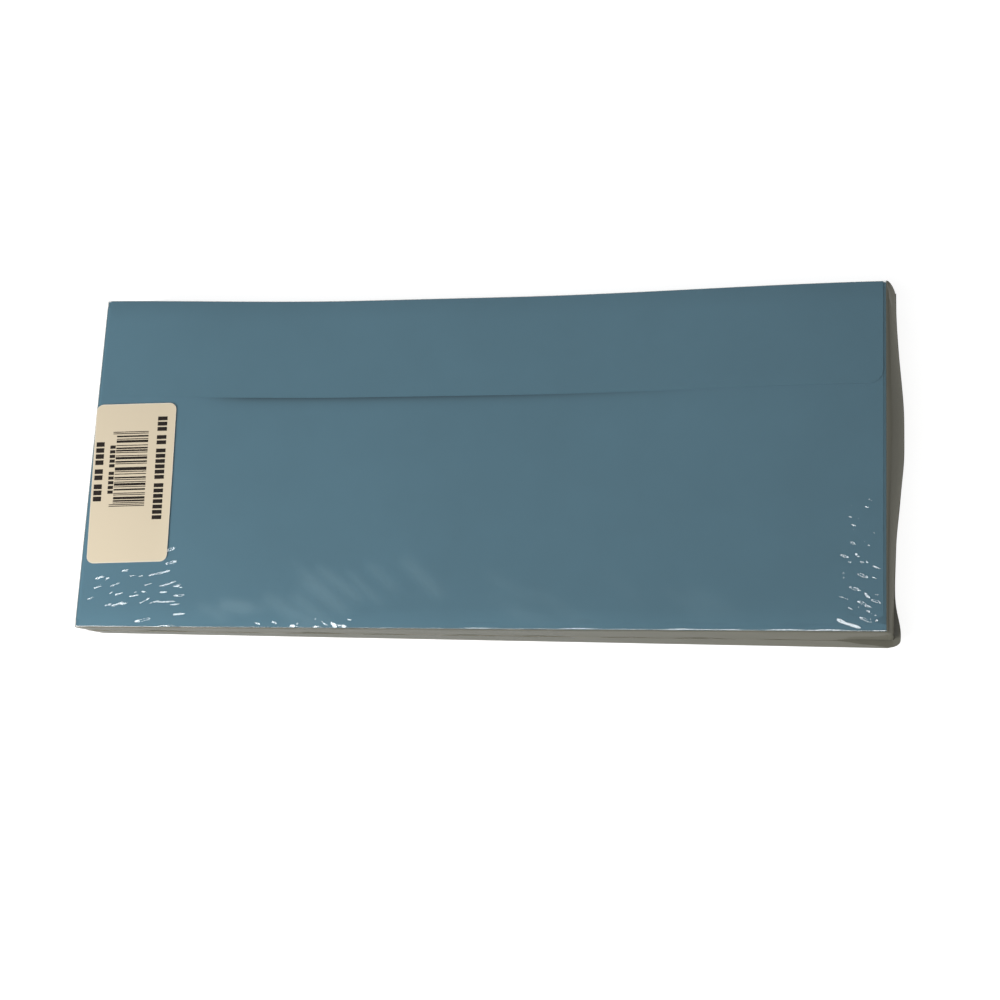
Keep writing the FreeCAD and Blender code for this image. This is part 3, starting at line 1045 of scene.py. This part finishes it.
@dataclass(frozen=True)
class FilmSeam:
    """The welded seam at half height: a crinkled ribbon round the front and both ends.

    It is narrow along the sides and reaches out as a loose ear at each front corner.
    """

    skin: FilmSkin
    finish: FilmFinish
    height: float = 11.05
    thickness: float = 0.12
    sunk: float = 0.15
    width: float = 0.25
    left_ear: float = 0.0
    right_ear: float = 1.8
    ear_run: float = 9.0
    crinkle: float = 0.03
    # The seam's grey haze, partly painted shade.
    gathered: float = 0.85
    step: float = 0.45
    corner_steps: int = 9
    columns: int = 5

    def path(self) -> tuple[Array, Array]:
        """The ribbon's root line from the back left corner to the back right one.

        Returns:
            Its points, and the outward direction at each.
        """
        reach = self.skin.reach - self.sunk
        spots = [reach * corner for corner in ((-1, 1), (-1, -1), (1, -1), (1, 1))]
        ways = [np.array([-1.0, 0.0]), np.array([0.0, -1.0]), np.array([1.0, 0.0])]
        angle = np.linspace(0.0, math.pi / 2, self.corner_steps)[1:-1, None]
        points, outward = [], []
        for side, way in enumerate(ways):
            run = spots[side + 1] - spots[side]
            share = np.linspace(0.0, 1.0, math.ceil(np.abs(run).max() / self.step))[:, None]
            points.append(spots[side] + run * share)
            outward.append(np.broadcast_to(way, points[-1].shape))
            if side < 2:
                points.append(np.broadcast_to(spots[side + 1], (len(angle), 2)))
                outward.append(np.cos(angle) * way + np.sin(angle) * ways[side + 1])
        return np.vstack(points), np.vstack(outward)

    def reach_at(self, spots: Array) -> Array:
        """How far the ribbon stands out: its width, and a bell at each front corner."""
        half_length, half_width = self.skin.reach
        to_corner = np.hypot(half_length - np.abs(spots[:, 0]), half_width + spots[:, 1])
        ear = np.where(spots[:, 0] > 0, self.right_ear, self.left_ear)
        uneven = 1 + 0.12 * np.sin(spots[:, 0] / 1.9 + spots[:, 1] / 2.7)
        return (self.width + ear * np.exp(-((to_corner / self.ear_run) ** 2))) * uneven

    def build(self) -> bpy.types.Object:
        """Makes the ribbon, wavier towards its free edge."""
        spots, outward = self.path()
        share = np.linspace(0.0, 1.0, self.columns)
        across = self.reach_at(spots)[:, None] * share
        plan = spots[:, None, :] + outward[:, None, :] * across[:, :, None]
        tent = self.skin.end_tent(spots[:, 1], np.full(len(spots), self.height))
        plan[:, :, 0] += (np.clip(outward[:, 0], 0.0, 1.0) * tent)[:, None]
        x, y = plan[:, :, 0], plan[:, :, 1]
        wave = np.sin(x / 0.9 + y / 1.1) + 0.6 * np.sin(x / 0.47 - y / 0.53 + 1.0)
        height = self.height + self.crinkle * share**1.5 * wave
        middle = np.column_stack([x.ravel(), y.ravel(), height.ravel()])
        normals = np.broadcast_to(np.array([0.0, 0.0, 1.0]), middle.shape)
        points, faces = thicken(middle, normals, grid_quads(len(spots), self.columns), self.thickness)
        placed = self.skin.shape.place(points)
        piece = make_piece("film_seam", placed, faces, self.finish.material())
        add_values(piece, GATHERED_HAZE_AND_SHADE, np.full(len(points), self.gathered))
        add_values(piece, PAINTED_SHEEN, np.zeros(len(points)))
        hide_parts("shrink_film")
        return piece


# Label


@dataclass(frozen=True)
class LabelPlace:
    """Where the label lies on the film."""

    shape: StackShape
    centre: tuple[float, float] = (-107.15, -7.0)
    turn_deg: float = 2.0
    half_width: float = 12.7
    half_length: float = 25.4
    thickness: float = 0.10

    def on_pack(self, across: Array, up: Array, height: Array) -> Array:
        """Points of the pack for places on the label.

        Args:
            across: Places along the label's short side, from its centre.
            up: Places along its long side.
            height: Heights over the film.

        Returns:
            The points, turned with the label and sunk with the stack.
        """
        turn = math.radians(self.turn_deg)
        x = self.centre[0] + across * math.cos(turn) - up * math.sin(turn)
        y = self.centre[1] + across * math.sin(turn) + up * math.cos(turn)
        return self.shape.place(np.column_stack([x, y, self.shape.top + height]))


@dataclass(frozen=True)
class LabelSheet:
    """The paper label: a sheet with four rounded corners that follows the film."""

    place: LabelPlace
    finish: LabelFinish
    corner: float = 2.2
    corner_steps: int = 6
    rows: int = 24
    columns: int = 16
    border: float = 0.35
    curl: float = 0.12
    curl_reach: float = 1.5

    def build(self) -> bpy.types.Object:
        """Makes the label, each row as long as the rounded corners leave it."""
        place = self.place
        angle = np.linspace(0.0, math.pi / 2, self.corner_steps)
        end_rows = place.half_length - self.corner * (1 - np.sin(angle))
        end_spans = place.half_width - self.corner * (1 - np.cos(angle))
        inner = np.linspace(-end_rows[0], end_rows[0], self.rows)[1:-1]
        up = np.concatenate([-end_rows[::-1], inner, end_rows])
        span = np.concatenate([end_spans[::-1], np.full(inner.shape, place.half_width), end_spans])
        share = np.sin(np.linspace(-math.pi / 2, math.pi / 2, self.columns))
        rim = 1 - self.border / place.half_width
        share = np.unique(np.concatenate([share, [-rim, rim]]))
        across = span[:, None] * share[None, :]
        along = np.broadcast_to(up[:, None], across.shape)
        to_right = place.half_width - across.ravel()
        curl = self.curl * np.exp(-((to_right / self.curl_reach) ** 2))
        flat = np.column_stack([across.ravel(), along.ravel(), place.thickness / 2 + curl])
        normals = np.broadcast_to(np.array([0.0, 0.0, 1.0]), flat.shape)
        points, faces = thicken(flat, normals, grid_quads(len(up), len(share)), place.thickness)
        placed = place.on_pack(points[:, 0], points[:, 1], points[:, 2])
        piece = make_piece("label_sheet", placed, faces, self.finish.material())
        inset_x = (span[:, None] - np.abs(across)).ravel()
        inset_y = (place.half_length - np.abs(along)).ravel()
        near_edge = 1 - smooth_step(np.minimum(inset_x, inset_y) / self.border)
        add_values(piece, BORDER, np.tile(near_edge, 2))
        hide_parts("label")
        return piece


@dataclass(frozen=True)
class WordLine:
    """A line of plain blocks, grouped like words, that runs down the label's long side."""

    across: float
    top: float
    height: float
    letter: float
    words: tuple[int, ...]
    word_gap: float = 1.4
    letter_gap: float = 0.45

    def blocks(self) -> Array:
        """The blocks as lines of left, right, low and high."""
        sizes = np.array(self.words)
        place = np.arange(sizes.sum()) * (self.letter + self.letter_gap)
        word = np.repeat(np.arange(len(sizes)), sizes)
        top = self.top - place - word * (self.word_gap - self.letter_gap)
        left = np.full(top.shape, self.across)
        return np.column_stack([left, left + self.height, top - self.letter, top])


@dataclass(frozen=True)
class BarField:
    """A row of plain bars of mixed widths, with longer bars at both ends."""

    left: float = -5.6
    right: float = 4.4
    top: float = 16.4
    length: float = 24.3
    units: int = 95
    guard_extra: float = 1.2
    guards: int = 2
    widths: tuple[int, ...] = (1, 1, 2, 1, 3, 1, 2, 2, 1, 1, 3, 2, 1, 4, 1, 1, 2, 1, 1, 3, 1, 2, 1, 1, 3, 2, 1, 1, 1)
    spaces: tuple[int, ...] = (1, 2, 2, 1, 3, 2, 1, 1, 3, 1, 2, 1, 4, 1, 2, 3, 1, 2, 1, 1, 2, 3, 1, 2, 1, 1, 1, 1)

    def blocks(self) -> Array:
        """The bars as lines of left, right, low and high."""
        widths = np.array(self.widths)
        before = np.concatenate([[0], np.cumsum(widths[:-1] + np.array(self.spaces))])
        unit = self.length / self.units
        order = np.arange(len(widths))
        guard = (order < self.guards) | (order >= len(widths) - self.guards)
        left = self.left - self.guard_extra * guard
        top = self.top - before * unit
        return np.column_stack([left, np.full(left.shape, self.right), top - widths * unit, top])


@dataclass(frozen=True)
class LabelMarks:
    """The ink on the label: bars and three lines of blocks, as thin closed plates."""

    place: LabelPlace
    finish: InkFinish
    bars: BarField = BarField()
    lines: tuple[WordLine, ...] = (
        WordLine(across=7.1, top=21.0, height=3.0, letter=1.25, words=(3, 2, 6, 7)),
        WordLine(across=-7.5, top=12.0, height=1.7, letter=1.05, words=(5, 5)),
        WordLine(across=-12.0, top=13.2, height=2.6, letter=1.5, words=(4, 2, 3)),
    )
    ink: float = 0.02
    steps: int = 5

    def build(self) -> bpy.types.Object:
        """Makes one plate per block, divided along its longer side so that it follows the label."""
        blocks = np.vstack([self.bars.blocks(), *(line.blocks() for line in self.lines)])
        share = np.linspace(0.0, 1.0, self.steps)
        across = blocks[:, 0:1] + (blocks[:, 1:2] - blocks[:, 0:1]) * share
        count = len(blocks)
        low = np.broadcast_to(blocks[:, 2:3], across.shape)
        high = np.broadcast_to(blocks[:, 3:4], across.shape)
        flat_across = np.stack([across, across], axis=1).reshape(-1)
        flat_up = np.stack([low, high], axis=1).reshape(-1)
        height = np.full(flat_up.shape, self.place.thickness)
        middle = np.column_stack([flat_across, flat_up, height])
        normals = np.broadcast_to(np.array([0.0, 0.0, 1.0]), middle.shape)
        one = grid_quads(2, self.steps)
        quads = (one[None, :, :] + (np.arange(count) * 2 * self.steps)[:, None, None]).reshape(-1, 4)
        points, faces = thicken(middle, normals, quads, 2 * self.ink)
        placed = self.place.on_pack(points[:, 0], points[:, 1], points[:, 2])
        piece = make_piece("label_marks", placed, faces, self.finish.material())
        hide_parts("label_print")
        return piece


# Studio


@dataclass(frozen=True)
class StudioFloor:
    """A plain pale table, lit a little from within like a light table."""

    half_size: float = 4000.0
    drop: float = 0.02
    colour: Colour = (0.45, 0.45, 0.45)
    glow: float = 0.86

    def build(self) -> bpy.types.Object:
        """Makes the floor under the pack."""
        corners = np.array([[-1, -1], [1, -1], [1, 1], [-1, 1]]) * self.half_size
        points = np.column_stack([corners, np.full(4, -self.drop)]) * MM
        mesh = bpy.data.meshes.new("studio_floor")
        mesh.from_pydata(points.tolist(), [], [[0, 1, 2, 3]])
        board = NodeBoard.new("pale_table")
        table = board.add("ShaderNodeBsdfPrincipled", roughness=0.9, specular_ior_level=0.0, emission_strength=self.glow)
        table.inputs["Base Color"].default_value = (*self.colour, 1.0)
        table.inputs["Emission Color"].default_value = (1.0, 1.0, 1.0, 1.0)
        mesh.materials.append(board.show(table.outputs["BSDF"]))
        floor = bpy.data.objects.new("studio_floor", mesh)
        bpy.context.scene.collection.objects.link(floor)
        return floor


@dataclass(frozen=True)
class SoftBox:
    """A rectangular studio light that points at the pack."""

    name: str
    place: tuple[float, float, float]
    size: tuple[float, float]
    power: float
    target: tuple[float, float, float] = (0.0, 0.0, 20.0)
    colour: Colour = (1.0, 1.0, 1.0)

    def build(self) -> bpy.types.Object:
        """Makes the light, its width level and its face to the target."""
        data = bpy.data.lights.new(self.name, "AREA")
        data.shape = "RECTANGLE"
        data.size = self.size[0] * MM
        data.size_y = self.size[1] * MM
        data.energy = self.power
        data.color = self.colour
        light = bpy.data.objects.new(self.name, data)
        back = (Vector(self.place) - Vector(self.target)).normalized()
        light.matrix_world = turned_frame(back, 0.0, Vector(self.place) * MM)
        light.visible_camera = False
        bpy.context.scene.collection.objects.link(light)
        return light


def turned_frame(back: Vector, roll: float, place: Vector) -> Matrix:
    """The placing of a camera or light that looks along its own -Z.

    Args:
        back: Unit direction from what it looks at to itself.
        roll: Turn about that direction from level, in radians.
        place: Where it stands, in metres.

    Returns:
        The matrix, with its own X level before the roll.
    """
    level_right = Vector((-back.y, back.x, 0.0)).normalized()
    level_up = back.cross(level_right)
    right = math.cos(roll) * level_right + math.sin(roll) * level_up
    up = back.cross(right)
    turned = Matrix((right, up, back)).transposed().to_4x4()
    turned.translation = place
    return turned


@dataclass(frozen=True)
class StudioCamera:
    """The camera, placed by the perspective of the pack's four top corners."""

    target: tuple[float, float, float] = (8.49, -13.52, 22.1)
    distance: float = 618.9
    azimuth_deg: float = 36.666
    elevation_deg: float = 70.696
    roll_deg: float = -35.439
    lens: float = 75.6
    sensor: float = 36.0

    def build(self) -> bpy.types.Object:
        """Makes the camera and shows the scene through it."""
        azimuth = math.radians(self.azimuth_deg)
        elevation = math.radians(self.elevation_deg)
        level = math.cos(elevation)
        back = Vector((math.sin(azimuth) * level, -math.cos(azimuth) * level, math.sin(elevation)))
        data = bpy.data.cameras.new("studio_camera")
        data.lens = self.lens
        data.sensor_width = self.sensor
        data.clip_start = 0.01
        data.clip_end = 20.0
        camera = bpy.data.objects.new("studio_camera", data)
        place = (Vector(self.target) + back * self.distance) * MM
        camera.matrix_world = turned_frame(back, math.radians(self.roll_deg), place)
        bpy.context.scene.collection.objects.link(camera)
        bpy.context.scene.camera = camera
        return camera


@dataclass(frozen=True)
class Studio:
    """Floor, lights, surroundings and camera."""

    surroundings: float = 0.20
    lights: tuple[SoftBox, ...] = (
        SoftBox("strip_light", (-310.0, -575.0, 1350.0), (1250.0, 280.0), 7.2),
        SoftBox("side_light", (-330.0, -260.0, 300.0), (260.0, 260.0), 2.1),
    )

    def build(self) -> None:
        """Sets up everything round the pack."""
        StudioFloor().build()
        for light in self.lights:
            light.build()
        StudioCamera().build()
        world = bpy.data.worlds.new("studio_surroundings")
        world.use_nodes = True
        world.node_tree.nodes["Background"].inputs["Strength"].default_value = self.surroundings
        world.node_tree.nodes["Background"].inputs["Color"].default_value = (1.0, 1.0, 1.0, 1.0)
        scene = bpy.context.scene
        scene.world = world
        scene.view_settings.view_transform = "Standard"


SPOT = (0.0, 0.0)
PUCKERS = (
    PuckerField((-107.0, -39.8), (11.0, 6.2), 28, 20.0, 7.0, (1.0, 3.0), slope=(0.36, 0.48), seed=3),
    PuckerField((-91.0, -35.6), (4.2, 9.4), 28, 17.0, 4.0, (1.4, 4.2), slope=(0.34, 0.44), fan_deg=13.0, seed=5),
    PuckerField((-98.6, -49.6), (1.2, 0.5), 3, 13.0, 2.0, (2.6, 3.8), slope=(0.31, 0.39), seed=8),
    PuckerField((-87.6, -47.6), SPOT, 1, 7.0, 0.0, (3.4, 3.4), (0.9, 0.9), (0.36, 0.36), seed=9),
    PuckerField((-92.5, -51.9), (3.0, 0.2), 3, 2.0, 5.0, (2.0, 3.6), seed=10),
    PuckerField((-48.0, -50.4), (18.0, 1.5), 20, -30.0, 18.0, (0.9, 2.4), slope=(0.42, 0.60), seed=13),
    PuckerField((113.0, -31.0), (5.0, 18.0), 78, -20.0, 12.0, (0.7, 2.2), slope=(0.41, 0.52), seed=21),
    PuckerField((110.4, -49.4), SPOT, 1, -16.0, 0.0, (5.2, 5.2), (1.1, 1.1), (0.335, 0.335), seed=34),
    PuckerField((-107.0, 20.4), (2.5, 0.3), 3, 8.0, 8.0, (0.5, 0.9), seed=55),
)
# Soft lighter bands of painted sheen on the film's top.
BANDS = (
    PuckerField((-34.0, -42.0), (20.0, 6.0), 8, -38.0, 9.0, (7.0, 13.0), (1.3, 2.6), (0.25, 0.5), seed=61),
    PuckerField((-72.0, -47.0), (9.0, 2.0), 4, -14.0, 14.0, (5.0, 10.0), (1.3, 2.2), (0.3, 0.5), seed=62),
    PuckerField((40.0, -44.0), (45.0, 5.0), 7, -32.0, 14.0, (6.0, 13.0), (1.5, 3.0), (0.1, 0.25), seed=63),
)


def write_sizes() -> None:
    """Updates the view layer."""
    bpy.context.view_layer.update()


def main() -> None:
    """Builds every sub-assembly in order and reports each."""
    logging.basicConfig(level=logging.INFO, format="%(name)s: %(message)s")
    shape = StackShape.from_frame()
    envelope = FoldedEnvelope(half_length=shape.half_length, half_width=shape.half_width)
    # The uppermost envelope's blue. The others take it at about 0.6 times as bright, a painted shade that darkens
    # the stack's sides.
    colour = (0.101, 0.215, 0.286)
    paper = PaperFinish("blue_envelope_paper", (0.062, 0.125, 0.165))
    # The uppermost envelope's paper, with painted shade in front of its seal flap's edge.
    shaded = PaintedShadePaperFinish("blue_envelope_paper_under_flap", colour)
    sheets = EnvelopeStack(shape, envelope, paper, shaded).build()
    log.info("%d envelopes of %d faces each", len(sheets), len(sheets[0].data.polygons))
    skin = FilmSkin(shape, FilmFinish("clear_shrink_film"), PUCKERS, BANDS)
    film = skin.build()
    log.info("%s with %d faces", film.name, len(film.data.polygons))
    seam = FilmSeam(skin, FilmFinish("welded_shrink_film")).build()
    log.info("%s with %d faces", seam.name, len(seam.data.polygons))
    place = LabelPlace(shape)
    label = LabelSheet(place, LabelFinish("cream_label_paper", (0.68, 0.586, 0.432), roughness=0.6)).build()
    log.info("%s with %d faces", label.name, len(label.data.polygons))
    marks = LabelMarks(place, InkFinish("dark_label_ink", (0.020, 0.015, 0.012))).build()
    log.info("%s with %d faces", marks.name, len(marks.data.polygons))
    Studio().build()
    log.info("studio set up")
    write_sizes()


if __name__ == "__main__":
    main()
